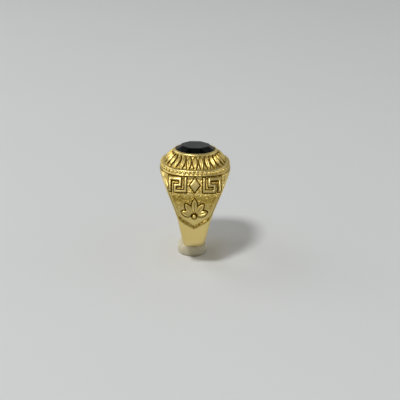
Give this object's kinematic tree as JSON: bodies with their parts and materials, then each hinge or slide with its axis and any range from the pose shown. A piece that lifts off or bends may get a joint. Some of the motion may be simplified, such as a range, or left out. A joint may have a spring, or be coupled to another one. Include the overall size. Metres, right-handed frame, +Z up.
{
  "type": "onyx class ring on a putty stand",
  "caption": "Cast gold-coloured signet ring with an oval faceted black stone, raised shoulders and a beaded bezel, held upright on a small dab of putty.",
  "frame": {"origin": "on the surface that the putty stands on, under the middle of the ring", "axes": "+Z up through the stone, X along the finger hole, Y across the ring from shoulder to shoulder"},
  "size_m": [0.018, 0.024, 0.0297],
  "materials": {
    "gold": "polished cast yellow gold with dark recesses and a stippled ground",
    "onyx": "polished black onyx, faceted",
    "putty": "soft translucent grey putty with a dull sheen"
  },
  "bodies": {
    "root": {"ring_casting": "gold", "onyx_stone": "onyx", "putty_stand": "putty"}
  },
  "joints": []
}
